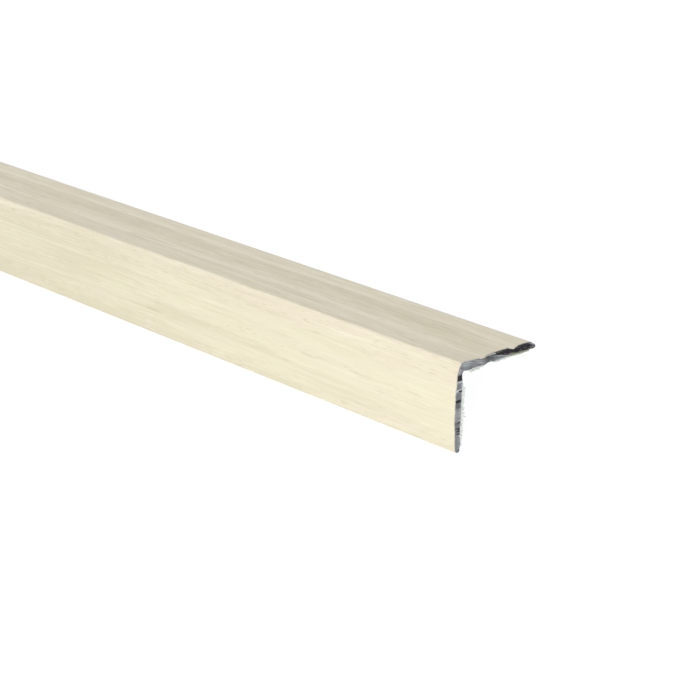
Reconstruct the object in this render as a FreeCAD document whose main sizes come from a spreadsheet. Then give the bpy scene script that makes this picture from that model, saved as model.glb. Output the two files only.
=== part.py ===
# Corner guard moulding: a sawn length of aluminium angle, wrapped in wood-grain decor foil.
# Each section is drawn with the outer corner at the origin, one leg along +Y and the other along -Z.
# The pieces then turn about X, so that the guard lies on its two leg tips with its corner up.
import FreeCAD, Part
import math
import os

import Sketcher
from FreeCAD import Placement, Rotation, Vector

# Driving dimensions, in millimetres and degrees
SIZES = {
    "length": 1000,  # of the longest edge, as the stock is sold
    "leg_width": 25,  # of each leg, over the foil
    "metal_wall": 1.8,
    "foil_thickness": 0.2,
    "corner_radius": 0.8,  # outside the foil
    "inner_radius": 0.5,  # between the legs, in the metal
    "hem_width": 2.0,  # flat strip of foil turned in behind each leg tip
    "saw_angle": 4.7,  # of the sawn end, off square
    "saw_overrun": 5,  # of the saw past the leg tips
}

# Half round over a leg tip, outside the foil
TIP_RADIUS = "(Sizes.metal_wall / 2 + Sizes.foil_thickness)"
# From the outer corner to the middle of that half round, along the leg
TIP_REACH = f"(Sizes.leg_width - {TIP_RADIUS})"
# Across half the guard as it lies, and up to where its outer faces would meet
HALF_WIDTH = f"(({TIP_REACH} - {TIP_RADIUS}) / sqrt(2) + {TIP_RADIUS})"
CORNER_HEIGHT = f"(({TIP_REACH} + {TIP_RADIUS}) / sqrt(2) + {TIP_RADIUS})"

# Degrees between each leg and the floor
LEAN = 45

# A sketch's own origin, and the places on a curve that a constraint can hold
ORIGIN = (-1, 1)
START, END, CENTRE = 1, 2, 3


def make_sheet(doc):
    """Spreadsheet with one named cell for each driving dimension."""
    sheet = doc.addObject("Spreadsheet::Sheet", "Sizes")
    for row, (name, value) in enumerate(SIZES.items(), start=1):
        sheet.set(f"A{row}", name)
        sheet.set(f"B{row}", str(value))
        sheet.setAlias(f"B{row}", name)
    doc.recompute()
    return sheet


def make_sketch(body, name, role, turn=0):
    """Sketch on one of the body's own origin planes, turned about the length of the guard."""
    sketch = body.newObject("Sketcher::SketchObject", name)
    plane = next(item for item in body.Origin.OriginFeatures if item.Role == role)
    sketch.AttachmentSupport = [(plane, "")]
    sketch.MapMode = "FlatFace"
    sketch.AttachmentOffset = Placement(Vector(), Rotation(Vector(1, 0, 0), turn))
    return sketch


def straight(start, end):
    """Straight stretch of an outline, with its first and last point."""
    return Part.LineSegment(Vector(*start, 0), Vector(*end, 0)), START, END


def rounded(centre, radius, first, last):
    """Round stretch from one angle to another, clockwise where the last is the smaller."""
    circle = Part.Circle(Vector(*centre, 0), Vector(0, 0, 1), radius)
    arc = Part.ArcOfCircle(circle, math.radians(min(first, last)), math.radians(max(first, last)))
    return (arc, START, END) if last > first else (arc, END, START)


def draw_ring(sketch, stretches):
    """Draw named stretches end to end in a ring. A round one runs smoothly into its neighbours."""
    edges = {name: sketch.addGeometry(shape, False) for name, (shape, _, _) in stretches.items()}
    following = list(stretches)[1:] + list(stretches)[:1]
    for name, next_name in zip(stretches, following):
        shape, _, last_point = stretches[name]
        next_shape, first_point, _ = stretches[next_name]
        square = isinstance(shape, Part.LineSegment) and isinstance(next_shape, Part.LineSegment)
        joint = "Coincident" if square else "Tangent"
        ends = (edges[name], last_point, edges[next_name], first_point)
        sketch.addConstraint(Sketcher.Constraint(joint, *ends))
    return edges


def level(sketch, *lines):
    """Keep lines along the sketch's X."""
    for line in lines:
        sketch.addConstraint(Sketcher.Constraint("Horizontal", line))


def upright(sketch, *lines):
    """Keep lines along the sketch's Y."""
    for line in lines:
        sketch.addConstraint(Sketcher.Constraint("Vertical", line))


def bind(sketch, name, kind, *where, to):
    """Add a named dimension and tie it to an expression on the sheet."""
    value = float(sketch.evalExpression(to))
    index = sketch.addConstraint(Sketcher.Constraint(kind, *where, value))
    sketch.renameConstraint(index, name)
    sketch.setExpression(f"Constraints.{name}", to)


def draw_metal(sketch, sheet):
    """Section of the aluminium: an even wall, with half-round leg tips.

    The inner sides are split where the foil's hem ends, so that each glue face is a face of its own.
    """
    foil = sheet.foil_thickness
    inside = foil + sheet.metal_wall
    tip = foil + sheet.metal_wall / 2
    reach = sheet.leg_width - tip
    bend = sheet.corner_radius
    hem_end = reach - sheet.hem_width
    root = inside + sheet.inner_radius
    edge = draw_ring(sketch, {
        "top": straight((reach, -foil), (bend, -foil)),
        "corner": rounded((bend, -bend), bend - foil, 90, 180),
        "front": straight((foil, -bend), (foil, -reach)),
        "front_tip": rounded((tip, -reach), sheet.metal_wall / 2, 180, 360),
        "front_under_hem": straight((inside, -reach), (inside, -hem_end)),
        "front_glue_face": straight((inside, -hem_end), (inside, -root)),
        "root": rounded((root, -root), sheet.inner_radius, 180, 90),
        "top_glue_face": straight((root, -inside), (hem_end, -inside)),
        "top_under_hem": straight((hem_end, -inside), (reach, -inside)),
        "top_tip": rounded((reach, -tip), sheet.metal_wall / 2, -90, 90),
    })
    level(sketch, edge["top"], edge["top_glue_face"], edge["top_under_hem"])
    upright(sketch, edge["front"], edge["front_glue_face"], edge["front_under_hem"])
    foil_size = "Sizes.foil_thickness"
    bind(sketch, "foil_on_top", "DistanceY", edge["top"], START, *ORIGIN, to=foil_size)
    bind(sketch, "foil_on_front", "DistanceX", *ORIGIN, edge["front"], START, to=foil_size)
    bind(sketch, "corner", "Radius", edge["corner"], to=f"Sizes.corner_radius - {foil_size}")
    bind(sketch, "root", "Radius", edge["root"], to="Sizes.inner_radius")
    bind(sketch, "tip", "Radius", edge["top_tip"], to="Sizes.metal_wall / 2")
    sketch.addConstraint(Sketcher.Constraint("Equal", edge["top_tip"], edge["front_tip"]))
    hem = edge["top_under_hem"]
    bind(sketch, "hem", "DistanceX", hem, START, hem, END, to="Sizes.hem_width")
    sketch.addConstraint(Sketcher.Constraint("Equal", hem, edge["front_under_hem"]))
    bind(sketch, "top_reach", "DistanceX", *ORIGIN, edge["top_tip"], CENTRE, to=TIP_REACH)
    bind(sketch, "front_reach", "DistanceY", edge["front_tip"], CENTRE, *ORIGIN, to=TIP_REACH)


def draw_foil(sketch, sheet):
    """Section of the foil: one even strip round the outside, turned in behind both leg tips."""
    foil = sheet.foil_thickness
    inside = foil + sheet.metal_wall
    tip = foil + sheet.metal_wall / 2
    reach = sheet.leg_width - tip
    bend = sheet.corner_radius
    hem_end = reach - sheet.hem_width
    behind = inside + foil
    edge = draw_ring(sketch, {
        "top": straight((reach, 0), (bend, 0)),
        "corner": rounded((bend, -bend), bend, 90, 180),
        "front": straight((0, -bend), (0, -reach)),
        "front_tip": rounded((tip, -reach), tip, 180, 360),
        "front_hem": straight((behind, -reach), (behind, -hem_end)),
        "front_hem_end": straight((behind, -hem_end), (inside, -hem_end)),
        "front_hem_glued": straight((inside, -hem_end), (inside, -reach)),
        "front_tip_glued": rounded((tip, -reach), tip - foil, 360, 180),
        "front_glued": straight((foil, -reach), (foil, -bend)),
        "corner_glued": rounded((bend, -bend), bend - foil, 180, 90),
        "top_glued": straight((bend, -foil), (reach, -foil)),
        "top_tip_glued": rounded((reach, -tip), tip - foil, 90, -90),
        "top_hem_glued": straight((reach, -inside), (hem_end, -inside)),
        "top_hem_end": straight((hem_end, -inside), (hem_end, -behind)),
        "top_hem": straight((hem_end, -behind), (reach, -behind)),
        "top_tip": rounded((reach, -tip), tip, -90, 90),
    })
    level(sketch, edge["top"], edge["top_glued"], edge["top_hem"], edge["top_hem_glued"])
    level(sketch, edge["front_hem_end"])
    upright(sketch, edge["front"], edge["front_glued"], edge["front_hem"], edge["front_hem_glued"])
    upright(sketch, edge["top_hem_end"])
    for name in ("corner", "top_tip", "front_tip"):
        centres = (edge[name], CENTRE, edge[f"{name}_glued"], CENTRE)
        sketch.addConstraint(Sketcher.Constraint("Coincident", *centres))
    sketch.addConstraint(Sketcher.Constraint("PointOnObject", edge["top"], START, -1))
    sketch.addConstraint(Sketcher.Constraint("PointOnObject", edge["front"], START, -2))
    sketch.addConstraint(Sketcher.Constraint("Equal", edge["top_tip_glued"], edge["front_tip_glued"]))
    sketch.addConstraint(Sketcher.Constraint("Equal", edge["top_hem"], edge["front_hem"]))
    bind(sketch, "corner", "Radius", edge["corner"], to="Sizes.corner_radius")
    bind(sketch, "tip", "Radius", edge["top_tip"], to=TIP_RADIUS)
    bind(sketch, "tip_glued", "Radius", edge["top_tip_glued"], to="Sizes.metal_wall / 2")
    hem = edge["top_hem"]
    bind(sketch, "hem", "DistanceX", hem, START, hem, END, to="Sizes.hem_width")
    bind(sketch, "top_reach", "DistanceX", *ORIGIN, edge["top_tip"], CENTRE, to=TIP_REACH)
    bind(sketch, "front_reach", "DistanceY", edge["front_tip"], CENTRE, *ORIGIN, to=TIP_REACH)


def draw_offcut(sketch, sheet):
    """Triangle that the saw takes off, seen from above the corner. It leaves the +Y tip its length."""
    slope = math.tan(math.radians(sheet.saw_angle))
    side = float(sketch.evalExpression(HALF_WIDTH)) + sheet.saw_overrun
    far = sheet.length / 2 + sheet.saw_overrun * slope
    edge = draw_ring(sketch, {
        "cut": straight((far, side), (far - 2 * side * slope, -side)),
        "base": straight((far - 2 * side * slope, -side), (far, -side)),
        "past_end": straight((far, -side), (far, side)),
    })
    level(sketch, edge["base"])
    upright(sketch, edge["past_end"])
    side_size = f"{HALF_WIDTH} + Sizes.saw_overrun"
    far_size = "Sizes.length / 2 + Sizes.saw_overrun * tan(Sizes.saw_angle * 1 deg)"
    bind(sketch, "far", "DistanceX", *ORIGIN, edge["cut"], START, to=far_size)
    bind(sketch, "side", "DistanceY", *ORIGIN, edge["cut"], START, to=side_size)
    bind(sketch, "other_side", "DistanceY", edge["base"], START, *ORIGIN, to=side_size)
    bind(sketch, "base", "DistanceX", edge["base"], START, edge["base"], END,
         to=f"2 * ({side_size}) * tan(Sizes.saw_angle * 1 deg)")


def make_piece(doc, sheet, label, draw_section):
    """One piece of the guard: its section run along X, sawn at the near end and laid on its tips."""
    body = doc.addObject("PartDesign::Body", label)
    body.Label = label
    section = make_sketch(body, f"{label}_section", "YZ_Plane")
    draw_section(section, sheet)
    stock = body.newObject("PartDesign::Pad", f"{label}_stock")
    stock.Profile = section
    stock.Midplane = True
    stock.Refine = False
    stock.setExpression("Length", "Sizes.length")
    offcut = make_sketch(body, f"{label}_offcut", "XY_Plane", turn=LEAN)
    draw_offcut(offcut, sheet)
    sawn = body.newObject("PartDesign::Pocket", f"{label}_sawn")
    sawn.Profile = offcut
    sawn.Type = "ThroughAll"
    sawn.Midplane = True
    sawn.Refine = False
    body.Placement = Placement(Vector(), Rotation(Vector(1, 0, 0), -LEAN))
    body.setExpression("Placement.Base.z", CORNER_HEIGHT)
    doc.recompute()
    if sawn.Shape.Volume >= stock.Shape.Volume:
        raise RuntimeError(f"the saw missed {label}")
    return body


def check(doc, pieces):
    """Stop where a feature failed or a piece has no sound solid."""
    failed = [item.Name for item in doc.Objects if {"Invalid", "Error"} & set(item.State)]
    if failed:
        raise RuntimeError(f"failed features: {failed}")
    for piece in pieces:
        if piece.Shape.isNull() or not piece.Shape.isValid() or len(piece.Shape.Solids) != 1:
            raise RuntimeError(f"{piece.Label} is not one sound solid")


def main():
    doc = FreeCAD.newDocument("corner_guard")
    sheet = make_sheet(doc)
    pieces = [
        make_piece(doc, sheet, "aluminium_angle", draw_metal),
        make_piece(doc, sheet, "wood_grain_foil", draw_foil),
    ]
    check(doc, pieces)
    os.makedirs("parts", exist_ok=True)
    for piece in pieces:
        piece.Shape.exportStep(f"parts/{piece.Label}.step")
        box = piece.Shape.BoundBox
        print(piece.Label, round(piece.Shape.Volume), box)


main()
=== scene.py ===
"""Looks of a foil-wrapped aluminium corner guard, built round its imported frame.

Each piece is modelled square: the outer corner on the X axis, one leg along +Y and the other along
-Z. It is then laid down, as the guard lies on its two leg tips with the corner up.
"""

import math
from contextlib import contextmanager

import bmesh
import bpy
from bpy.props import FloatProperty, FloatVectorProperty, PointerProperty
from mathutils import Matrix, Vector, noise


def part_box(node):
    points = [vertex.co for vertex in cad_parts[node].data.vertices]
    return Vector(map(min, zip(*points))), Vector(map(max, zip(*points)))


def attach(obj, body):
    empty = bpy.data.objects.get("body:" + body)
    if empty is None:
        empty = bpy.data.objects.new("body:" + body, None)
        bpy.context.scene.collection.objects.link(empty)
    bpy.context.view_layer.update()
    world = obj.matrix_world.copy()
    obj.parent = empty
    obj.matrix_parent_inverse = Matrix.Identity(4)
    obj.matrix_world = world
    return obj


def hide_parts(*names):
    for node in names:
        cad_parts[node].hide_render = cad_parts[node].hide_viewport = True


bl_info = {
    "name": "Corner Guard Moulding",
    "version": (1, 0, 0),
    "blender": (4, 5, 0),
    "location": "3D View > Sidebar > Corner Guard",
    "description": "Builds a sawn, foil-wrapped aluminium corner guard and its studio",
    "category": "Mesh",
}

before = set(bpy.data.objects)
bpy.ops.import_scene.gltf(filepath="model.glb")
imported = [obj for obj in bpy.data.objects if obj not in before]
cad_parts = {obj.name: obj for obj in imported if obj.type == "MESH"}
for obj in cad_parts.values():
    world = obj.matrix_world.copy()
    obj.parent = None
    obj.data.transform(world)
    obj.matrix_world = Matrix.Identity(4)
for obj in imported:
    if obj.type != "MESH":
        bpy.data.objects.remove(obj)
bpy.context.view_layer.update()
LOW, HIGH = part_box("wood_grain_foil")

MM = 0.001
# Slack for comparing places, and how far the studio's floor lies below the guard
TINY = 0.01 * MM
# Angle between each leg and the floor
LEAN = math.radians(45)
UPRIGHT = Matrix.Rotation(LEAN, 3, "X")
# From the corner along each leg of the square model
ALONG_TOP = Vector((0, 1, 0))
ALONG_FRONT = Vector((0, 0, -1))
# Angle between the saw's marks and the top leg
SLANT = math.radians(13)
# Steps in the rounds of the outer corner, the root between the legs, and each half of a leg tip
CORNER_STEPS, ROOT_STEPS, TIP_STEPS = 8, 5, 6
# Faces that meet at less than this are shaded as one smooth surface
SMOOTH_BELOW = math.radians(35)
# Share of the wall, from the outside, that the saw left in its place
SOUND_WALL = 0.4
# Where along the top leg the shreds of its hem come into sight, coloured olive: the foil darkened
# by painted shade
SHADED_HEM_SHOWS = (14.5 * MM, 17.5 * MM)

# The sawn end isn't flat. Each line below is set from place to place, in mm.
# How far the metal reaches out along the top leg, and along the front leg, whose first point is
# added to the whole top leg. How far down the saw dragged the top leg's inner edge
METAL_REACH = ((1.8, 0.0), (3.5, 1.0), (8, 1.0), (11, 0.7), (14, 0.4), (17, 0.4), (21, 0.5),
               (23.5, 0.55), (25, 0.8))
FRONT_REACH = ((3.5, 0.4), (6, 0.25), (9, 0.05), (18, 0.0), (22, 0.1), (24, 0.3), (25, 0.6))
LIP_DROP = ((2, 0.6), (2.5, 0.75), (3, 0.65), (4, 0.38), (5, 0.27), (8.3, 0.2), (9, 0.0),
            (10.2, 0.0), (11, 0.12), (12, 0.15), (13, 0.08), (16, 0.0))
# How much of the inner side is worn off along the top leg, and along the front leg
TOP_WEAR = ((8.3, 0.0), (9.2, 0.12), (10, 0.12), (11, 0.0), (13, 0.0), (15, 0.08), (17, 0.18),
            (21, 0.2), (23, 0.4))
FRONT_WEAR = ((2.6, 0.0), (3.6, 0.3), (4.8, 0.2), (5.8, 0.05), (6.6, 0.0), (17, 0.0), (18.5, 0.1),
              (21, 0.1), (22.6, 0.0), (24, 0.25))
# Round the wrap, from the tip of the front leg at -25 over the corner at 0 to the tip of the top
# leg: how far the foil reaches out
FOIL_REACH = ((-25, 1.7), (-24, 1.3), (-22, 1.05), (-19, 1.0), (-17, 0.75), (-9, 0.75),
              (-7.5, 0.95), (-6, 1.15), (-4, 1.15), (-2.9, 1.3), (-1.75, 1.7), (-0.5, 2.2),
              (0, 2.25), (1, 1.95), (2.2, 1.75), (4, 1.9), (5, 2.0), (5.9, 2.15), (6.5, 2.75),
              (7.1, 2.75), (8.1, 2.05), (9, 1.6), (10.2, 1.3), (11.5, 1.0), (13.8, 0.8),
              (16, 0.7), (16.5, 0.85), (16.8, 1.4), (17.3, 2.0), (18.2, 1.55), (19.3, 1.0),
              (20.3, 0.6), (22, 0.45), (23.8, 0.5), (25, 0.9))
# Along each leg: how wide the fringe of burr is on its inner edge
TOP_BURR = ((3.0, 0.0), (3.3, 1.1), (4.2, 1.2), (6.3, 0.9), (7.0, 0.65), (8.0, 0.4), (9.0, 0.0),
            (11.0, 0.1), (12.0, 0.75), (16, 0.6), (17.5, 0.4), (20, 0.35), (22, 0.15), (23, 0.0))
FRONT_BURR = ((6.2, 0.0), (7.2, 0.6), (8.2, 1.2), (11, 0.85), (13, 1.1), (16, 1.05), (17, 0.7),
              (20, 0.55), (22, 0.5), (23.4, 0.0))

# Marks of the print that are placed one by one: dark streaks, with the middle along the length, the
# place round the wrap, half the length, half the width and the strength of each
PRINT_MARKS = ((365, -17.5, 19, 0.55, 0.9), (391, -15.6, 12, 1.0, 0.35), (417, -16.4, 12, 0.7, 0.7),
               (353, -21.0, 9, 0.6, 0.6), (391, -22.3, 9, 0.6, 0.5), (426, -10.1, 7, 0.5, 0.5),
               (375, -10.0, 9, 0.6, 0.5), (388, -5.4, 12, 0.4, 0.5), (463, -13.1, 11, 0.4, 0.6),
               (466, -3.6, 8, 0.35, 0.6), (352, 6.6, 10, 0.5, 0.6), (393, 6.6, 8, 0.4, 0.5),
               (440, 14.5, 12, 0.5, 0.5), (468, 13.3, 9, 0.4, 0.6), (484, 15.2, 8, 0.5, 0.6),
               (476, 13.6, 34, 3.6, 0.3), (414, 0.5, 11, 0.45, 0.8), (448, 0.55, 13, 0.45, 0.8),
               (378, 0.5, 10, 0.4, 0.6), (480, 0.5, 8, 0.4, 0.5), (431, 5.6, 10, 0.4, 0.6),
               (402, 16.4, 8, 0.4, 0.5), (418, 14.0, 8, 0.4, 0.5), (467, 17.4, 8, 0.45, 0.45),
               (457, 3.6, 9, 0.5, 0.5), (439, 2.6, 10, 0.35, 0.5), (441, -5.8, 5, 0.4, 0.8),
               (438, -13.3, 5, 0.3, 0.8), (482, -13.0, 6, 0.3, 0.6), (485, -7.5, 6, 0.3, 0.5),
               (405, -6.6, 8, 0.35, 0.5))


class GuardSizes(bpy.types.PropertyGroup):
    """Real sizes of the guard, in metres. Its length and width come from the frame."""

    leg_width: FloatProperty(name="Leg width", description="Each leg, over the foil",
                             default=25 * MM, unit="LENGTH")
    metal_wall: FloatProperty(name="Metal wall", description="Thickness of the aluminium",
                              default=1.8 * MM, unit="LENGTH")
    foil_thickness: FloatProperty(name="Foil", description="Thickness of the decor foil",
                                  default=0.2 * MM, unit="LENGTH")
    corner_radius: FloatProperty(name="Corner radius", description="Outside the foil",
                                 default=0.8 * MM, unit="LENGTH")
    inner_radius: FloatProperty(name="Inner radius", description="Between the legs, in the metal",
                                default=0.5 * MM, unit="LENGTH")
    hem_width: FloatProperty(name="Hem", description="Foil turned in behind each leg tip",
                             default=2.0 * MM, unit="LENGTH")
    saw_angle: FloatProperty(name="Saw angle", description="How far the sawn end is off square",
                             default=math.radians(4.7), unit="ROTATION")
    metal_setback: FloatProperty(name="Metal setback", default=1.6 * MM, unit="LENGTH",
                                 description="Flat part of the metal's cut, behind the guard's "
                                 "longest shred")
    foil_setback: FloatProperty(name="Foil setback", default=2.3 * MM, unit="LENGTH",
                                description="Where the foil is torn back most, behind its "
                                "longest shred")
    tooth_marks: FloatProperty(name="Tooth marks", description="Depth of the saw's marks",
                               default=0.14 * MM, unit="LENGTH")
    ragged: FloatProperty(name="Ragged edge", description="How unevenly the saw tore the foil",
                          default=0.3 * MM, unit="LENGTH")
    burr_thickness: FloatProperty(name="Burr", description="Thickness of the burr's shreds",
                                  default=0.06 * MM, unit="LENGTH")


class GuardColours(bpy.types.PropertyGroup):
    """Colours of the foil, the metal and the stage."""

    foil: FloatVectorProperty(name="Foil", description="Ground colour of the printed oak",
                              default=(0.858, 0.808, 0.612), subtype="COLOR", size=3, min=0, max=1)
    blush: FloatVectorProperty(name="Blush", description="Warmer ground near the corner",
                               default=(0.852, 0.776, 0.612), subtype="COLOR", size=3, min=0, max=1)
    grain: FloatVectorProperty(name="Grain", description="Soft darker streaks of the print",
                               default=(0.768, 0.718, 0.532), subtype="COLOR", size=3, min=0, max=1)
    vein: FloatVectorProperty(name="Vein", description="Pale lengthwise veins of the print",
                              default=(0.934, 0.884, 0.700), subtype="COLOR", size=3, min=0, max=1)
    pore: FloatVectorProperty(name="Pore", description="Short dark dashes of the print",
                              default=(0.660, 0.595, 0.395), subtype="COLOR", size=3, min=0, max=1)
    core: FloatVectorProperty(name="Foil core", description="Pale inside of the foil, at its edge",
                              default=(0.68, 0.67, 0.67), subtype="COLOR", size=3, min=0, max=1)
    metal: FloatVectorProperty(name="Metal", description="Mill-finish aluminium",
                               default=(0.62, 0.64, 0.66), subtype="COLOR", size=3, min=0, max=1)
    sawn: FloatVectorProperty(name="Sawn metal", description="Ground colour of the sawn end",
                              default=(0.225, 0.238, 0.254), subtype="COLOR", size=3, min=0, max=1)
    scratch: FloatVectorProperty(name="Scratch", description="Bright scratches of the sawn end",
                                 default=(0.63, 0.65, 0.67), subtype="COLOR", size=3, min=0, max=1)
    # Near-black of the sawn end, used for its dark zone on the top leg and for the painted shade of
    # the bars
    sawn_black: FloatVectorProperty(name="Smear", description="Dark, torn places of the sawn end",
                               default=(0.016, 0.015, 0.018), subtype="COLOR", size=3, min=0, max=1)
    # Foil colour darkened to olive: painted shade on the hem's shreds under the top leg
    shaded_hem: FloatVectorProperty(name="Hem shreds", description="Shreds of the foil that is turned in",
                             default=(0.24, 0.255, 0.17), subtype="COLOR", size=3, min=0, max=1)
    burr: FloatVectorProperty(name="Burr", description="Thin shreds along the cut",
                              default=(0.77, 0.825, 0.77), subtype="COLOR", size=3, min=0, max=1)


class GuardStage(bpy.types.PropertyGroup):
    """Camera and lamps."""

    target: FloatVectorProperty(name="Target", description="Point in the middle of the picture",
                                default=(0.45538, -0.00522, 0.01354), subtype="XYZ", size=3)
    distance: FloatProperty(name="Distance", description="From the target to the camera",
                            default=0.6431, unit="LENGTH")
    azimuth: FloatProperty(name="Azimuth", description="Camera's direction, counted from +X",
                           default=math.radians(-14.95), unit="ROTATION")
    elevation: FloatProperty(name="Elevation", description="Camera's height above the floor",
                             default=math.radians(40.91), unit="ROTATION")
    roll: FloatProperty(name="Roll", description="Camera's clockwise turn about its own axis",
                        default=math.radians(47.42), unit="ROTATION")
    lens: FloatProperty(name="Lens", description="Focal length for a 36 mm frame, in millimetres",
                        default=126.1)
    key: FloatProperty(name="Key lamp", description="Power of the lamp on the front leg",
                       default=13.4)
    fill: FloatProperty(name="Fill lamp", description="Power of the lamp on the top leg",
                        default=5.5)
    sky: FloatProperty(name="Sky", description="Strength of the even light from all round",
                       default=0.45)


def sizes():
    return bpy.context.scene.guard_sizes


def colours():
    return bpy.context.scene.guard_colours


def stage_settings():
    return bpy.context.scene.guard_stage


def tip_radius():
    """Half round over a leg tip, outside the foil."""
    return sizes().metal_wall / 2 + sizes().foil_thickness


def corner_height():
    """From the floor up to where the outer faces would meet."""
    return sizes().leg_width / math.sqrt(2) + tip_radius()


def saw_normal():
    """Direction that the sawn end faces, on the square model."""
    angle = sizes().saw_angle
    return UPRIGHT @ Vector((math.cos(angle), -math.sin(angle), 0))


def saw_point(behind=0.0):
    """Point of the square model on the saw's plane, or on a plane some way behind it."""
    return UPRIGHT @ Vector((HIGH.x, HIGH.y, -corner_height())) - behind * saw_normal()


def behind_cut(co):
    """How far a point of the square model lies behind the saw's plane."""
    return (saw_point() - co).dot(saw_normal())


def trace(line, place):
    """Height at one place of a line through given points, both in mm, as metres."""
    place /= MM
    for (start, low), (stop, high) in zip(line, line[1:]):
        if place <= stop:
            share = max(0.0, (place - start) / (stop - start))
            return (low + share * (high - low)) * MM
    return line[-1][1] * MM


# Modelling steps that the pieces share

def only(obj):
    """Make one object the active one and the only one selected."""
    bpy.ops.object.select_all(action="DESELECT")
    bpy.context.view_layer.objects.active = obj
    obj.select_set(True)


@contextmanager
def editing(obj):
    """Edit mode on one object, with nothing in its mesh selected."""
    only(obj)
    bpy.ops.object.mode_set(mode="EDIT")
    bpy.ops.mesh.select_all(action="DESELECT")
    yield
    bpy.ops.object.mode_set(mode="OBJECT")


def pick(obj, kind, test):
    """Select, in edit mode, only the edges or only the faces that pass a test."""
    bpy.ops.mesh.select_mode(type=kind)
    bpy.ops.mesh.select_all(action="DESELECT")
    mesh = bmesh.from_edit_mesh(obj.data)
    for item in {"EDGE": mesh.edges, "FACE": mesh.faces}[kind]:
        if test(item):
            item.select_set(True)
    mesh.select_flush_mode()
    bmesh.update_edit_mesh(obj.data)


def add_block(name, low, high):
    """Box primitive between two corners, named, with its place in its mesh."""
    low, high = Vector(low), Vector(high)
    bpy.ops.object.select_all(action="DESELECT")
    bpy.ops.mesh.primitive_cube_add(size=1, location=(low + high) / 2, scale=high - low)
    obj = bpy.context.active_object
    obj.name = name
    bpy.ops.object.transform_apply(location=True, rotation=True, scale=True)
    return obj


def extrude(way):
    """Extrude the selected faces by a vector."""
    bpy.ops.mesh.extrude_region_move(TRANSFORM_OT_translate={"value": way})


def lengthwise(y, z):
    """Test for an edge that runs along X at one place of the section."""
    return lambda edge: all(abs(v.co.y - y) < TINY and abs(v.co.z - z) < TINY for v in edge.verts)


def round_edges(obj, places, radius, segments):
    """Round the lengthwise edges at some places of the section."""
    tests = [lengthwise(*place) for place in places]
    pick(obj, "EDGE", lambda edge: any(test(edge) for test in tests))
    bpy.ops.mesh.bevel(offset=radius, offset_type="OFFSET", segments=segments, profile=0.5,
                       affect="EDGES", clamp_overlap=False)


def angle_blank(name):
    """Aluminium angle with rounded corner, root and leg tips, square to the axes."""
    s = sizes()
    foil = s.foil_thickness
    inside = foil + s.metal_wall
    leg_end = s.leg_width - foil
    half = s.metal_wall / 2
    obj = add_block(name, (LOW.x, foil, -inside), (HIGH.x, inside, -foil))
    with editing(obj):
        pick(obj, "FACE", lambda face: face.normal.y > 0.9)
        extrude((0, leg_end - inside, 0))
        pick(obj, "FACE",
             lambda face: face.normal.z < -0.9 and face.calc_center_median().y < inside)
        extrude((0, 0, inside - leg_end))
        round_edges(obj, [(foil, -foil)], s.corner_radius - foil, CORNER_STEPS)
        round_edges(obj, [(inside, -inside)], s.inner_radius, ROOT_STEPS)
        # The two rounds of a tip stop just short of each other, and their ends are then merged
        round_edges(obj, [(leg_end, -foil), (leg_end, -inside)], half * 0.999, TIP_STEPS)
        round_edges(obj, [(foil, -leg_end), (inside, -leg_end)], half * 0.999, TIP_STEPS)
        bpy.ops.mesh.select_all(action="SELECT")
        bpy.ops.mesh.remove_doubles(threshold=half * 0.005)
    return obj


def slice_all(point, normal, **settings):
    """Bisect the whole mesh."""
    bpy.ops.mesh.select_all(action="SELECT")
    bpy.ops.mesh.bisect(plane_co=point, plane_no=normal, **settings)


def slice_band(obj, depth, start, top_step, front_step):
    """Divide what lies within a depth of the sawn end by planes across both legs."""
    pick(obj, "FACE", lambda face: all(behind_cut(v.co) < depth + TINY for v in face.verts))
    bpy.ops.mesh.hide(unselected=True)
    for step, way in ((top_step, ALONG_TOP), (front_step, ALONG_FRONT)):
        for index in range(int((sizes().leg_width - start) / step) + 1):
            slice_all((start + index * step) * way, way)
    bpy.ops.mesh.reveal(select=False)


def group_of(obj, name, weight):
    """Vertex group whose weight at each vertex is worked out from its place."""
    group = obj.vertex_groups.new(name=name)
    for vertex in obj.data.vertices:
        value = weight(vertex.co)
        if value > 0:
            group.add([vertex.index], min(value, 1.0), "REPLACE")
    return name


def push(obj, name, amount, direction, most):
    """Move each vertex along an axis by an amount that is worked out from its place."""
    only(obj)
    bpy.ops.object.modifier_add(type="DISPLACE")
    modifier = obj.modifiers[-1]
    modifier.vertex_group = group_of(obj, name, lambda co: amount(co) / abs(most))
    modifier.direction = direction
    modifier.mid_level = 0
    modifier.strength = most
    bpy.ops.object.modifier_apply(modifier=modifier.name)


def roughen(obj, name, weight, strength, size, direction, turn=0.0):
    """Move vertices along an axis by a cloudy noise whose features measure size along X, Y, Z."""
    bpy.ops.object.empty_add(rotation=(turn, 0, 0))
    ruler = bpy.context.active_object
    ruler.scale = size
    bpy.context.view_layer.update()
    texture = bpy.data.textures.new(f"{obj.name}_{name}", type="CLOUDS")
    texture.noise_scale = 1.0
    only(obj)
    bpy.ops.object.modifier_add(type="DISPLACE")
    modifier = obj.modifiers[-1]
    modifier.texture = texture
    modifier.texture_coords = "OBJECT"
    modifier.texture_coords_object = ruler
    modifier.vertex_group = group_of(obj, name, weight)
    modifier.direction = direction
    modifier.strength = strength
    bpy.ops.object.modifier_apply(modifier=modifier.name)
    bpy.data.objects.remove(ruler)


def thicken(obj, thickness, back_material):
    """Give a sheet its thickness, outwards, with its rim and back in a material of their own."""
    only(obj)
    bpy.ops.object.modifier_add(type="SOLIDIFY")
    modifier = obj.modifiers[-1]
    modifier.thickness = thickness
    modifier.offset = 1
    modifier.material_offset = back_material
    modifier.material_offset_rim = back_material
    bpy.ops.object.modifier_apply(modifier=modifier.name)


def lay_down(obj):
    """Turn a square model on to its leg tips, and put its place in its mesh."""
    only(obj)
    obj.rotation_euler = (-LEAN, 0, 0)
    obj.location = (0, 0, corner_height())
    bpy.ops.object.transform_apply(location=True, rotation=True, scale=True)


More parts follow.
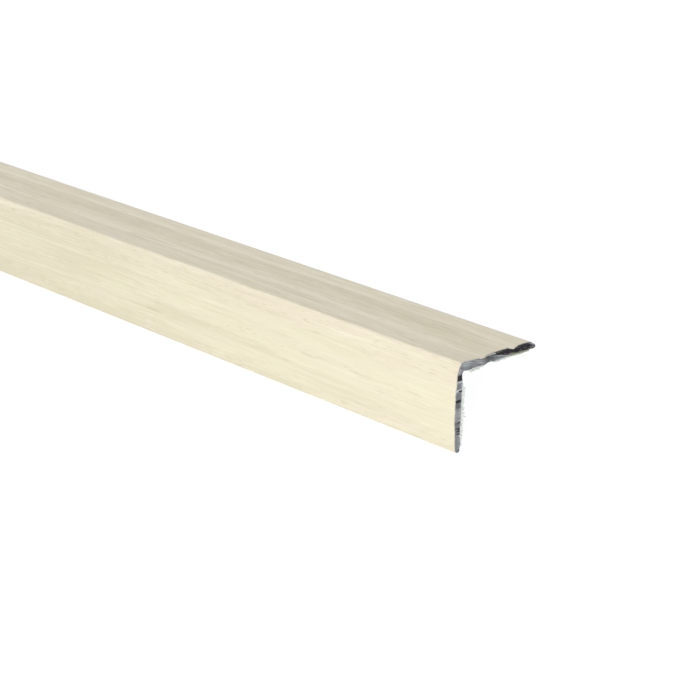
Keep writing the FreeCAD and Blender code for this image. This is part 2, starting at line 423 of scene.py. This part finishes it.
def finish_piece(obj):
    """Lay a piece down, shade its rounds smooth, and give it its body."""
    lay_down(obj)
    bpy.ops.object.shade_smooth_by_angle(angle=SMOOTH_BELOW)
    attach(obj, "root")


# Shader parts

class Nodes:
    """Short way to add and join the nodes of one tree."""

    def __init__(self, tree):
        self.tree = tree
        tree.nodes.clear()

    def add(self, kind, inputs=None, **settings):
        """Node with its settings, and its inputs set to values or joined to sockets."""
        node = self.tree.nodes.new(kind)
        for name, value in settings.items():
            setattr(node, name, value)
        for name, value in (inputs or {}).items():
            if isinstance(value, bpy.types.NodeSocket):
                self.tree.links.new(value, node.inputs[name])
            else:
                node.inputs[name].default_value = value
        return node

    def math(self, operation, first, second=0.0, third=0.0):
        inputs = {0: first, 1: second, 2: third}
        return self.add("ShaderNodeMath", inputs, operation=operation).outputs[0]

    def sway(self, value, amount, base=0.0):
        """Base moved up and down by what a value is above or below its middle."""
        return self.math("MULTIPLY_ADD", self.math("SUBTRACT", value, 0.5), amount, base)

    def noise(self, vector, size, detail=2.0, roughness=0.5):
        """Noise whose features measure size along X, Y and Z."""
        scaled = self.add("ShaderNodeMapping", {"Vector": vector,
                                                "Scale": [1 / part for part in size]})
        clouds = self.add("ShaderNodeTexNoise", {"Vector": scaled.outputs[0], "Scale": 1.0,
                                                 "Detail": detail, "Roughness": roughness})
        return clouds.outputs["Fac"]

    def seen(self):
        """Mask of the rays by which the camera, polished metal and glass see a background."""
        paths = self.add("ShaderNodeLightPath").outputs
        mask = self.math("MAXIMUM", paths["Is Camera Ray"], paths["Is Glossy Ray"])
        return self.math("MAXIMUM", mask, paths["Is Transmission Ray"])

    def ramp(self, value, low, high, start=0.0, stop=1.0):
        """Start below low, stop above high, smooth between."""
        node = self.add("ShaderNodeMapRange", {"Value": value, "From Min": low, "From Max": high,
                                               "To Min": start, "To Max": stop},
                        interpolation_type="SMOOTHSTEP")
        return node.outputs[0]

    def mix(self, share, first, second):
        """Blend of two colours."""
        first, second = (value if isinstance(value, bpy.types.NodeSocket) else (*value, 1)
                         for value in (first, second))
        node = self.add("ShaderNodeMix", {0: share, 6: first, 7: second}, data_type="RGBA")
        return node.outputs[2]

    def stops(self, value, stops, low=0, high=25):
        """Grey value read from given stops between two places, which are in mm."""
        span = high - low
        share = self.add("ShaderNodeMapRange", {"Value": value, "From Min": low * MM,
                                                "From Max": high * MM}).outputs[0]
        node = self.add("ShaderNodeValToRGB", {0: share})
        ramp = node.color_ramp
        ramp.interpolation = "EASE"
        while len(ramp.elements) < len(stops):
            ramp.elements.new(0.5)
        for element, (place, grey) in zip(ramp.elements, stops):
            element.position = (place - low) / span
            element.color = (grey, grey, grey, 1)
        return node.outputs[0]


def section_group():
    """Group that turns the laid-down place back into the square section."""
    tree = bpy.data.node_groups.new("Guard section", "ShaderNodeTree")
    for label, kind in (("Place", "Vector"), ("Wrap", "Vector"), ("Top leg", "Float"),
                        ("Front leg", "Float")):
        tree.interface.new_socket(name=label, in_out="OUTPUT", socket_type=f"NodeSocket{kind}")
    nodes = Nodes(tree)
    place = nodes.add("ShaderNodeTexCoord").outputs["Object"]
    back = corner_height() / math.sqrt(2)
    square = nodes.add("ShaderNodeMapping", {"Vector": place, "Location": (0, back, -back),
                                             "Rotation": (LEAN, 0, 0)}).outputs[0]
    x, y, z = nodes.add("ShaderNodeSeparateXYZ", {0: square}).outputs
    wrap = nodes.add("ShaderNodeCombineXYZ", {0: x, 1: nodes.math("ADD", y, z)}).outputs[0]
    front = nodes.math("MULTIPLY", z, -1.0)
    nodes.add("NodeGroupOutput", {"Place": square, "Wrap": wrap, "Top leg": y, "Front leg": front})
    return tree


def material(name):
    """Empty node material, with its Nodes, its Principled shader and the section's coordinates."""
    made = bpy.data.materials.new(name)
    made.use_nodes = True
    nodes = Nodes(made.node_tree)
    shader = nodes.add("ShaderNodeBsdfPrincipled")
    nodes.add("ShaderNodeOutputMaterial", {"Surface": shader.outputs[0]})
    group = bpy.data.node_groups.get("Guard section") or section_group()
    section = nodes.add("ShaderNodeGroup", node_tree=group)
    return made, nodes, shader, section.outputs


def darker(colour, share):
    """Colour at a share of its brightness."""
    return [share * part for part in colour]


def print_marks(nodes, wrap):
    """Mask of the listed dark streaks."""
    marks = 0.0
    for x, across, half_length, half_width, strength in PRINT_MARKS:
        size = Vector((half_length * MM, half_width * MM, 1))
        at = Vector((-x * MM / size.x, -across * MM / size.y, 0))
        centred = nodes.add("ShaderNodeMapping", {"Vector": wrap, "Location": at,
                                                  "Scale": [1 / part for part in size]}).outputs[0]
        away = nodes.add("ShaderNodeVectorMath", {0: centred}, operation="LENGTH").outputs["Value"]
        marks = nodes.math("MAXIMUM", marks, nodes.ramp(away, 1.0, 0.2, 0.0, strength))
    return marks


def foil_material():
    """Matt foil printed with whitewashed oak: bands, pale veins, fibres and short dark pores."""
    c = colours()
    made, nodes, shader, section = material("Oak decor foil")
    drift = nodes.noise(section["Wrap"], (70 * MM, 9 * MM, 1), detail=1)
    waver = nodes.noise(section["Wrap"], (9 * MM, 2 * MM, 1), detail=1)
    x, across, _ = nodes.add("ShaderNodeSeparateXYZ", {0: section["Wrap"]}).outputs
    across = nodes.sway(waver, 0.5 * MM, nodes.sway(drift, 1.1 * MM, across))
    wrap = nodes.add("ShaderNodeCombineXYZ", {0: x, 1: across}).outputs[0]

    broad = nodes.noise(wrap, (60 * MM, 2.6 * MM, 1), detail=2)
    streak = nodes.noise(wrap, (26 * MM, 0.8 * MM, 1), detail=3, roughness=0.6)
    fibre = nodes.noise(wrap, (8 * MM, 0.45 * MM, 1), detail=2, roughness=0.6)
    bands = nodes.stops(across, low=-25, stops=(
        (-25, 0.76), (-22.5, 0.62), (-19, 0.50), (-16.5, 0.56), (-12, 0.47), (-8.5, 0.48),
        (-5, 0.53), (-2, 0.53), (0, 0.52), (0.9, 0.56), (1.8, 0.46), (6.8, 0.50), (7.6, 0.18),
        (8.7, 0.16), (9.6, 0.60), (13, 0.78), (17.4, 0.72), (18.4, 0.32), (19.2, 0.12),
        (20.0, 0.34), (21.3, 0.52), (25, 0.50)))
    gap = nodes.ramp(nodes.noise(wrap, (34 * MM, 7 * MM, 1), detail=1), 0.49, 0.60, 0.0, 0.75)
    bands = nodes.mix(gap, bands, (0.5, 0.5, 0.5))
    # The front leg's print is fainter than the top leg's. Painted shade darkens the front leg away
    # from the sawn end
    on_front = nodes.ramp(across, 0, -5 * MM)
    painted_shade_along = nodes.math("MULTIPLY", nodes.ramp(x, 0.30, 0.50, 0.18, -0.02), on_front)
    contrast = nodes.ramp(across, -2 * MM, 0, 0.7, 1.05)
    crisp = nodes.ramp(across, -2 * MM, 0, 0.5, 1.0)
    tone = nodes.sway(streak, contrast, nodes.sway(broad, contrast, bands))
    tone = nodes.math("ADD", tone, painted_shade_along)
    warm = nodes.stops(across, low=-25, stops=(
        (-25, 0.2), (-8, 0.2), (-4, 0.7), (-0.5, 0.9), (2, 0.8), (5, 0.3), (25, 0.15)))
    warm = nodes.sway(nodes.noise(wrap, (40 * MM, 5 * MM, 1), detail=1), 2.0, warm)
    colour = nodes.mix(nodes.ramp(warm, 0.1, 0.9), c.foil, c.blush)
    colour = nodes.mix(nodes.ramp(tone, 0.48, 0.84), colour, c.grain)
    colour = nodes.mix(nodes.ramp(tone, 0.48, 0.22), colour, c.vein)
    colour = nodes.mix(nodes.ramp(fibre, 0.56, 0.70, 0.0, crisp), colour, c.vein)
    colour = nodes.mix(nodes.ramp(fibre, 0.44, 0.30, 0.0, crisp), colour, c.grain)

    dash = nodes.ramp(nodes.noise(wrap, (5 * MM, 0.3 * MM, 1), detail=1), 0.63, 0.70)
    rows = nodes.stops(across, low=-25, stops=(
        (-25, 0.6), (-22, 0.9), (-19.5, 0.3), (-14.5, 0.3), (-13, 0.9), (-11, 0.3), (-7, 0.3),
        (-5.5, 0.9), (-2, 0.9), (0, 0.5), (3, 0.7), (6.5, 0.5), (8, 0.1), (11, 0.3), (13, 0.7),
        (17, 0.6), (19, 0.1), (22, 0.3)))
    cluster = nodes.sway(nodes.noise(wrap, (24 * MM, 1.8 * MM, 1), detail=1), 2.4, rows)
    pores = nodes.math("MULTIPLY", dash, nodes.ramp(cluster, 0.45, 0.85, 0.0, 0.8))
    marks = print_marks(nodes, wrap)
    marks = nodes.math("MULTIPLY", marks, nodes.ramp(fibre, 0.62, 0.42, 0.35, 1.0))
    dark = nodes.math("MAXIMUM", pores, nodes.math("MULTIPLY", marks, 0.7))
    colour = nodes.mix(dark, colour, c.pore)

    chipped = nodes.add("ShaderNodeAttribute", attribute_name="chipped").outputs["Fac"]
    chips = nodes.noise(section["Place"], (0.5 * MM, 0.5 * MM, 0.5 * MM), detail=2)
    colour = nodes.mix(nodes.ramp(nodes.sway(chips, 2.0, chipped), 0.45, 0.7), colour, c.core)

    relief = nodes.math("SUBTRACT", nodes.math("MULTIPLY", streak, 0.5), dark)
    bump = nodes.add("ShaderNodeBump", {"Height": relief, "Distance": 0.02 * MM, "Strength": 0.6})
    nodes.tree.links.new(colour, shader.inputs["Base Color"])
    nodes.tree.links.new(nodes.ramp(streak, 0.3, 0.7, 0.46, 0.56), shader.inputs["Roughness"])
    nodes.tree.links.new(bump.outputs[0], shader.inputs["Normal"])
    return made


def core_material():
    """Torn edge and back of the foil, without its print."""
    c = colours()
    made, nodes, shader, section = material("Foil core")
    fibres = nodes.noise(section["Place"], (0.3 * MM, 0.3 * MM, 0.3 * MM), detail=3)
    colour = nodes.mix(nodes.ramp(fibres, 0.35, 0.7), c.core, darker(c.core, 0.75))
    nodes.tree.links.new(colour, shader.inputs["Base Color"])
    shader.inputs["Roughness"].default_value = 0.8
    return made


def metal_material():
    """Mill-finish aluminium with faint drawing lines along its length."""
    c = colours()
    made, nodes, shader, section = material("Mill aluminium")
    lines = nodes.noise(section["Place"], (150 * MM, 0.2 * MM, 0.2 * MM), detail=3, roughness=0.65)
    cloud = nodes.noise(section["Place"], (40 * MM, 6 * MM, 6 * MM), detail=3)
    tone = nodes.math("ADD", nodes.math("MULTIPLY", lines, 0.6), nodes.math("MULTIPLY", cloud, 0.4))
    colour = nodes.mix(nodes.ramp(tone, 0.35, 0.65), c.metal, darker(c.metal, 0.8))
    bump = nodes.add("ShaderNodeBump", {"Height": lines, "Distance": 0.01 * MM, "Strength": 0.5})
    nodes.tree.links.new(colour, shader.inputs["Base Color"])
    nodes.tree.links.new(nodes.ramp(tone, 0.3, 0.7, 0.34, 0.52), shader.inputs["Roughness"])
    nodes.tree.links.new(bump.outputs[0], shader.inputs["Normal"])
    shader.inputs["Metallic"].default_value = 1.0
    return made


def sawn_material():
    """Sawn aluminium: streaks along the top leg, marks across the front leg with bars of painted
    shade, a near-black zone on the top leg, and painted glints.
    """
    c = colours()
    made, nodes, shader, section = material("Sawn aluminium")
    top, front = section["Top leg"], section["Front leg"]
    slant = nodes.math("SUBTRACT", front, nodes.math("MULTIPLY", top, math.tan(SLANT)))
    sweep = nodes.add("ShaderNodeCombineXYZ", {0: top, 1: slant}).outputs[0]
    streak = nodes.noise(sweep, (5 * MM, 0.3 * MM, 1), detail=3, roughness=0.6)
    patch = nodes.noise(section["Place"], (0.6 * MM, 0.6 * MM, 0.6 * MM), detail=2)
    on_top = nodes.math("MAXIMUM", nodes.ramp(front, 2.5 * MM, 2.0 * MM),
                        nodes.ramp(top, 1.5 * MM, 2.0 * MM))

    # Dark bars across the front leg, painted as the shade in grooves where the saw tore deeper, and
    # the tone between them. Tone along the top leg
    place = nodes.sway(patch, 0.5 * MM, front)
    shaded_bars = nodes.stops(place, (
        (3.8, 0.0), (3.95, 1.0), (4.4, 1.0), (4.55, 0.6), (4.7, 1.0), (5.3, 1.0), (5.45, 0.0),
        (7.95, 0.0), (8.1, 1.0), (8.45, 1.0), (8.6, 0.0), (10.5, 0.0), (10.65, 1.0), (11.25, 1.0),
        (11.4, 0.0), (16.6, 0.0), (16.75, 0.6), (17.1, 0.6), (17.25, 0.0), (18.2, 0.0),
        (18.35, 1.0), (18.7, 1.0), (18.85, 0.0), (19.05, 1.0), (19.3, 1.0), (19.45, 0.0),
        (19.75, 0.8), (20.05, 0.8), (20.2, 0.0), (24.0, 0.0), (24.5, 0.5)))
    across = nodes.stops(place, (
        (0.5, 0.76), (2.4, 0.74), (3.2, 0.68), (3.7, 0.4), (5.4, 0.4), (5.6, 0.85), (6.0, 0.66),
        (6.3, 0.5), (7.6, 0.4), (7.8, 0.9), (8.4, 0.9), (8.7, 0.44), (10.5, 0.4), (11.3, 0.29),
        (12.8, 0.30), (13.15, 0.57), (14.5, 0.62), (16.2, 0.58), (17.2, 0.38), (18.2, 0.42),
        (18.9, 0.6), (19.5, 0.6), (20.3, 0.56), (24, 0.54)))
    along = nodes.stops(top, (
        (0.5, 0.66), (1.8, 0.60), (4, 0.47), (7, 0.42), (8, 0.32), (9, 0.18), (10.6, 0.20),
        (12, 0.36), (13, 0.46), (16.0, 0.40), (17.2, 0.18), (25, 0.12)))
    strength = nodes.math("MULTIPLY_ADD", on_top, 1.2, 0.4)
    tone = nodes.sway(streak, strength, nodes.mix(on_top, across, along))
    # A darker patch of painted shade in the root between the legs, and paler sides along the front
    # leg
    root = nodes.ramp(top, 0.9 * MM, 1.7 * MM)
    for leg, low, high in ((top, 4.5, 3.0), (front, 1.6, 2.3), (front, 3.9, 3.4)):
        root = nodes.math("MULTIPLY", root, nodes.ramp(leg, low * MM, high * MM))
    tone = nodes.math("ADD", tone, nodes.ramp(top, 0.2 * MM, 0.9 * MM, 0.07, 0.0))
    tone = nodes.math("ADD", tone, nodes.ramp(top, 0.9 * MM, 1.9 * MM, 0.0, 0.08))
    tone = nodes.math("SUBTRACT", tone, nodes.math("MULTIPLY", root, 0.3))

    # Near-black zone from the outside of the top leg down to an edge, and what breaks up the
    # painted shade of the bars
    edge = nodes.stops(top, (
        (4.6, 0.0), (5.4, 0.11), (6.3, 0.0), (8.6, 0.04), (10.8, 0.10), (11.6, 0.14), (12.6, 0.29),
        (13.6, 0.43), (14.9, 0.50), (16.1, 0.54), (17.7, 0.59), (20, 0.60), (23, 0.54), (25, 0.52)))
    torn = nodes.math("SUBTRACT", front, nodes.math("MULTIPLY", edge, 2.5 * MM))
    torn = nodes.ramp(nodes.sway(streak, 1.2 * MM, torn), 0.1 * MM, -0.1 * MM)
    outer = nodes.ramp(top, 1.2 * MM, 0.8 * MM)
    speck = nodes.math("MULTIPLY", nodes.ramp(front, 7 * MM, 7.2 * MM),
                       nodes.ramp(front, 9 * MM, 8.8 * MM))
    weak = nodes.math("MAXIMUM", speck, nodes.ramp(front, 12 * MM, 16 * MM, 0, 0.4))
    shaded_bars = nodes.math("SUBTRACT", shaded_bars, nodes.math("MULTIPLY", outer, weak))
    dark = nodes.math("MAXIMUM", torn, shaded_bars)
    # Painted highlights: lighter glints in the dark places, strongest near the top leg's tip
    painted_glint = nodes.noise(sweep, (1.4 * MM, 0.18 * MM, 1), detail=2)
    tip = nodes.ramp(top, 22 * MM, 24 * MM)
    painted_glint = nodes.ramp(nodes.sway(tip, 0.16, painted_glint), 0.50, 0.62, 0.0, 0.42)
    tone = nodes.mix(dark, tone, painted_glint)
    # The far end is cut plainly, so all of this is for the near half of the guard
    x = nodes.add("ShaderNodeSeparateXYZ", {0: section["Place"]}).outputs["X"]
    near = nodes.ramp(x, 0.2 * LOW.x, 0.2 * HIGH.x)
    tone = nodes.mix(near, nodes.sway(streak, 0.5, 0.62), tone)

    colour = nodes.mix(nodes.ramp(tone, 0.0, 0.5), c.sawn_black, c.sawn)
    colour = nodes.mix(nodes.ramp(tone, 0.45, 1.0), colour, c.scratch)
    # Painted shade: the olive of the hem's shreds in shade, on the top leg's sawn face below its
    # near-black zone
    shaded_hem = nodes.math("MULTIPLY", nodes.ramp(top, *SHADED_HEM_SHOWS), nodes.math("SUBTRACT", near, torn))
    colour = nodes.mix(shaded_hem, colour, c.shaded_hem)
    nodes.tree.links.new(colour, shader.inputs["Base Color"])
    nodes.tree.links.new(nodes.ramp(tone, 0.0, 0.5, 0.0, 0.5), shader.inputs["Metallic"])
    nodes.tree.links.new(nodes.ramp(tone, 0.0, 0.5, 0.8, 0.42), shader.inputs["Roughness"])
    shader.inputs["Specular IOR Level"].default_value = 0.3
    return made


def burr_material():
    """Thin bright shreds of metal and foil."""
    c = colours()
    made, nodes, shader, section = material("Burr")
    shreds = nodes.noise(section["Place"], (0.4 * MM, 0.4 * MM, 0.4 * MM), detail=2)
    colour = nodes.mix(nodes.ramp(shreds, 0.35, 0.7), c.burr, darker(c.burr, 0.7))
    # Painted shade: near the top leg's inner side the shreds take the olive of the hem in shade
    shaded_hem = nodes.math("MULTIPLY", nodes.ramp(section["Top leg"], *SHADED_HEM_SHOWS),
                     nodes.ramp(section["Front leg"], 2.3 * MM, 1.9 * MM, 0.05, 0.6))
    colour = nodes.mix(shaded_hem, colour, c.shaded_hem)
    nodes.tree.links.new(colour, shader.inputs["Base Color"])
    shader.inputs["Metallic"].default_value = 0.3
    shader.inputs["Roughness"].default_value = 0.5
    return made


class GUARD_OT_metal(bpy.types.Operator):
    """Aluminium angle, sawn at the near end"""

    bl_idname = "guard.metal"
    bl_label = "Aluminium angle"

    def execute(self, context):
        s = sizes()
        obj = angle_blank("aluminium_angle_sawn")
        cut = s.metal_setback
        inside = s.metal_wall + s.foil_thickness
        # How far behind the cut its unevenness dies out
        relief = 1.5 * MM
        with editing(obj):
            slice_all(saw_point(cut), saw_normal(), use_fill=True, clear_outer=True)
            for depth in (0.2 * MM, 0.5 * MM, 0.9 * MM, relief):
                slice_all(saw_point(cut + depth), saw_normal())
            slice_band(obj, cut + relief, 0.3 * MM, top_step=0.25 * MM, front_step=0.12 * MM)

        def fade(co):
            return max(0.0, 1 - (behind_cut(co) - cut) / relief)

        def inwards(depth):
            """Rises from 0 in the sound wall to 1 on the inner side."""
            return max(0.0, min(1.0, (depth / inside - SOUND_WALL) / (1 - SOUND_WALL)))

        def drop(co):
            """How far the lip is dragged down, from the top leg on to the top of the front leg."""
            if co.y < inside - TINY:
                return 0.0
            lowest, tail = 3.9 * MM, 1.4 * MM
            share = max(0.0, min(inwards(-co.z), (lowest + co.z) / tail))
            return trace(LIP_DROP, co.y) * share * fade(co) ** 2

        def wear(line, place, depth):
            return trace(line, place) * inwards(depth)

        push(obj, "lip", drop, "Z", -0.9 * MM)
        push(obj, "top_wear", lambda co: wear(TOP_WEAR, co.y, -co.z) * fade(co), "Z", 0.4 * MM)
        push(obj, "front_wear", lambda co: wear(FRONT_WEAR, -co.z, co.y) * fade(co), "Y", -0.3 * MM)

        def reach(co):
            return (trace(METAL_REACH, co.y) + trace(FRONT_REACH, -co.z)) * fade(co)

        def on_cut(co):
            return float(behind_cut(co) < cut + TINY)

        push(obj, "reach", reach, "X", 1.4 * MM)
        roughen(obj, "marks", on_cut, s.tooth_marks, (1, 7 * MM, 0.45 * MM), "X", turn=-SLANT)
        obj.data.materials.append(metal_material())
        obj.data.materials.append(sawn_material())
        # The sawn end's material, with its near-black zone, also covers the sides of the top leg
        # where the foil is torn back most
        torn_from = 12 * MM
        for face in obj.data.polygons:
            torn_bare = behind_cut(face.center) < cut + relief and face.center.y > torn_from
            face.material_index = int(abs(face.normal.x) > 0.5 or torn_bare)
        finish_piece(obj)
        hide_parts("aluminium_angle")
        return {"FINISHED"}


class GUARD_OT_foil(bpy.types.Operator):
    """Decor foil round the metal, torn along the saw cut"""

    bl_idname = "guard.foil"
    bl_label = "Wood-grain foil"

    def execute(self, context):
        s = sizes()
        obj = angle_blank("oak_foil_wrap")
        inside = s.foil_thickness + s.metal_wall - TINY
        hem_end = s.leg_width - tip_radius() - s.hem_width

        def bare(face):
            centre = face.calc_center_median()
            within = centre.y > inside - s.inner_radius and centre.z < -inside + s.inner_radius
            return abs(face.normal.x) > 0.9 or within and max(centre.y, -centre.z) < hem_end

        with editing(obj):
            for way in (ALONG_TOP, ALONG_FRONT):
                slice_all(hem_end * way, way)
            pick(obj, "FACE", bare)
            bpy.ops.mesh.delete(type="FACE")
        cut = s.foil_setback
        # How far behind the foil's edge its unevenness dies out, and at which share its chips end
        tear = 2.4 * MM
        chip = 0.1
        with editing(obj):
            slice_all(saw_point(cut), saw_normal(), clear_outer=True)
            for share in (chip, 0.25, 0.5, 1.0):
                slice_all(saw_point(cut + share * tear), saw_normal())
            slice_band(obj, cut + tear, 1.3 * MM, top_step=0.2 * MM, front_step=0.2 * MM)

        def fade(co):
            return max(0.0, 1 - (behind_cut(co) - cut) / tear)

        def reach(co):
            shaded_hem = co.y > inside and co.z < -tip_radius() or co.z < -inside and co.y > tip_radius()
            return (0.0 if shaded_hem else trace(FOIL_REACH, co.y + co.z)) * fade(co)

        chipped = obj.data.attributes.new("chipped", "FLOAT", "POINT")
        for vertex, value in zip(obj.data.vertices, chipped.data):
            value.value = max(0.0, 1 - (behind_cut(vertex.co) - cut) / (chip * tear))
        push(obj, "reach", reach, "X", 3.1 * MM)
        roughen(obj, "torn", fade, s.ragged, (1, 0.6 * MM, 0.6 * MM), "X")
        obj.data.materials.append(foil_material())
        obj.data.materials.append(core_material())
        thicken(obj, s.foil_thickness, back_material=1)
        finish_piece(obj)
        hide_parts("wood_grain_foil")
        return {"FINISHED"}


class GUARD_OT_burr(bpy.types.Operator):
    """Fringe of torn shreds along both inner edges of the cut"""

    bl_idname = "guard.burr"
    bl_label = "Saw burr"

    def execute(self, context):
        self.add_fringe("saw_burr_top", TOP_BURR, along_top=True, root=0.3 * MM, behind=1.5,
                        shreds=(0.2, 0.7, 0.6))
        self.add_fringe("saw_burr_front", FRONT_BURR, along_top=False, root=0.1 * MM, behind=-2.0,
                        shreds=(0.1, 0.5, 0.9))
        return {"FINISHED"}

    def add_fringe(self, name, line, along_top, root, behind, shreds):
        """Row of shreds along one leg, rooted in it, some of its own thicknesses behind the cut.

        The shreds are given as the least length, the usual length, and how much single ones differ.
        """
        s = sizes()
        inside = s.metal_wall + s.foil_thickness
        least, usual, torn = shreds
        start, stop = line[0][0] * MM, line[-1][0] * MM
        step = 0.1 * MM
        if along_top:
            way, low, high = ALONG_TOP, (start, -inside), (stop, root - inside)
        else:
            way, low, high = ALONG_FRONT, (inside - root, -stop), (inside, -start)
        obj = add_block(name, (0, *low), (s.burr_thickness, *high))
        with editing(obj):
            for index in range(1, int((stop - start) / step)):
                slice_all((start + index * step) * way, way)

        def depth(co):
            return abs(co.z if along_top else co.y)

        def hang(co):
            """How far the shreds hang from the leg's inner side, which the lip takes with it."""
            place = co.y if along_top else -co.z
            clump = noise.noise(Vector((place / (0.9 * MM), 7, 3)))
            thread = noise.noise(Vector((place / (0.16 * MM), 5, 1)))
            shred = min(1.0, max(least, usual + 0.4 * clump + torn * thread))
            free = depth(co) > inside - TINY
            dragged = trace(LIP_DROP, place) if along_top else 0.0
            return trace(line, place) * shred * free + dragged

        def seat(co):
            """How far out the uneven cut lies."""
            plane = saw_point(s.metal_setback + behind * s.burr_thickness)
            rise = (plane - Vector((0, co.y, co.z))).dot(saw_normal()) / saw_normal().x
            return rise + trace(METAL_REACH, co.y) + trace(FRONT_REACH, -co.z)

        def curl(co):
            return float(depth(co) > inside + TINY)

        push(obj, "hang", hang, "Z" if along_top else "Y", (-1 if along_top else 1) * 2.0 * MM)
        push(obj, "seat", seat, "X", HIGH.x)
        roughen(obj, "curl", curl, 0.4 * MM, (1, 0.5 * MM, 0.5 * MM), "X")
        obj.data.materials.append(burr_material())
        finish_piece(obj)


class GUARD_OT_stage(bpy.types.Operator):
    """Floor, lamps, sky and camera"""

    bl_idname = "guard.stage"
    bl_label = "Studio"

    def execute(self, context):
        self.add_floor()
        self.add_lamps()
        self.add_sky(context)
        self.add_camera(context)
        context.scene.view_settings.view_transform = "Standard"
        return {"FINISHED"}

    def add_floor(self):
        """Pale floor that the camera and reflections see as white, with a faint shadow."""
        bpy.ops.object.select_all(action="DESELECT")
        bpy.ops.mesh.primitive_plane_add(size=12, location=(0, 0, -TINY))
        floor = bpy.context.active_object
        floor.name = "studio_floor"
        made = bpy.data.materials.new("Studio floor")
        made.use_nodes = True
        nodes = Nodes(made.node_tree)
        pale = nodes.add("ShaderNodeBsdfDiffuse", {"Color": (0.6, 0.6, 0.6, 1)})
        faint = nodes.add("ShaderNodeBsdfDiffuse", {"Color": (0.12, 0.12, 0.12, 1)})
        glow = nodes.add("ShaderNodeEmission", {"Color": (1, 1, 1, 1), "Strength": 0.95})
        white = nodes.add("ShaderNodeAddShader", {0: faint.outputs[0], 1: glow.outputs[0]})
        both = nodes.add("ShaderNodeMixShader", {0: nodes.seen(), 1: pale.outputs[0],
                                                 2: white.outputs[0]})
        nodes.add("ShaderNodeOutputMaterial", {"Surface": both.outputs[0]})
        floor.data.materials.append(made)

    def add_lamps(self):
        """Large lamp on the front leg, and a weaker one on the top leg."""
        st = stage_settings()
        target = Vector(st.target)
        for name, away, power, colour in (
                ("key", (0.55, -1.0, 0.9), st.key, (1.0, 0.99, 0.97)),
                ("fill", (-0.25, 0.9, 1.2), st.fill, (1.0, 0.965, 0.98))):
            turn = Vector(away).to_track_quat("Z", "Y").to_euler()
            bpy.ops.object.light_add(type="AREA", location=target + Vector(away), rotation=turn)
            lamp = bpy.context.active_object
            lamp.name = f"{name}_lamp"
            lamp.data.size = 0.8
            lamp.data.energy = power
            lamp.data.color = colour

    def add_sky(self, context):
        """Even light from all round, which the camera and reflections see as white."""
        world = bpy.data.worlds.new("Studio sky")
        context.scene.world = world
        world.use_nodes = True
        nodes = Nodes(world.node_tree)
        level = nodes.add("ShaderNodeMapRange", {
            "Value": nodes.seen(), "To Min": stage_settings().sky, "To Max": 1.0}).outputs[0]
        sky = nodes.add("ShaderNodeBackground", {"Color": (1, 1, 1, 1), "Strength": level})
        nodes.add("ShaderNodeOutputWorld", {"Surface": sky.outputs[0]})

    def add_camera(self, context):
        """Camera at the photograph's angle, turned so that the front leg stands upright in view."""
        st = stage_settings()
        flat = math.cos(st.elevation)
        away = Vector((flat * math.cos(st.azimuth), flat * math.sin(st.azimuth),
                       math.sin(st.elevation)))
        level = away.to_track_quat("Z", "Y").to_matrix()
        turn = (level @ Matrix.Rotation(-st.roll, 3, "Z")).to_euler()
        bpy.ops.object.camera_add(location=Vector(st.target) + st.distance * away, rotation=turn)
        camera = bpy.context.active_object
        camera.data.lens = st.lens
        camera.data.sensor_width = 36
        context.scene.camera = camera


class GUARD_PT_panel(bpy.types.Panel):
    """Buttons for the pieces of the guard"""

    bl_idname = "GUARD_PT_panel"
    bl_label = "Corner Guard"
    bl_space_type = "VIEW_3D"
    bl_region_type = "UI"
    bl_category = "Corner Guard"

    def draw(self, context):
        for operator in OPERATORS:
            self.layout.operator(operator.bl_idname)


OPERATORS = (GUARD_OT_metal, GUARD_OT_foil, GUARD_OT_burr, GUARD_OT_stage)
CLASSES = (GuardSizes, GuardColours, GuardStage, *OPERATORS, GUARD_PT_panel)


def register():
    for cls in CLASSES:
        bpy.utils.register_class(cls)
    bpy.types.Scene.guard_sizes = PointerProperty(type=GuardSizes)
    bpy.types.Scene.guard_colours = PointerProperty(type=GuardColours)
    bpy.types.Scene.guard_stage = PointerProperty(type=GuardStage)


def unregister():
    del bpy.types.Scene.guard_stage
    del bpy.types.Scene.guard_colours
    del bpy.types.Scene.guard_sizes
    for cls in reversed(CLASSES):
        bpy.utils.unregister_class(cls)


def main():
    register()
    bpy.ops.guard.metal()
    bpy.ops.guard.foil()
    bpy.ops.guard.burr()
    bpy.ops.guard.stage()


if __name__ == "__main__":
    main()
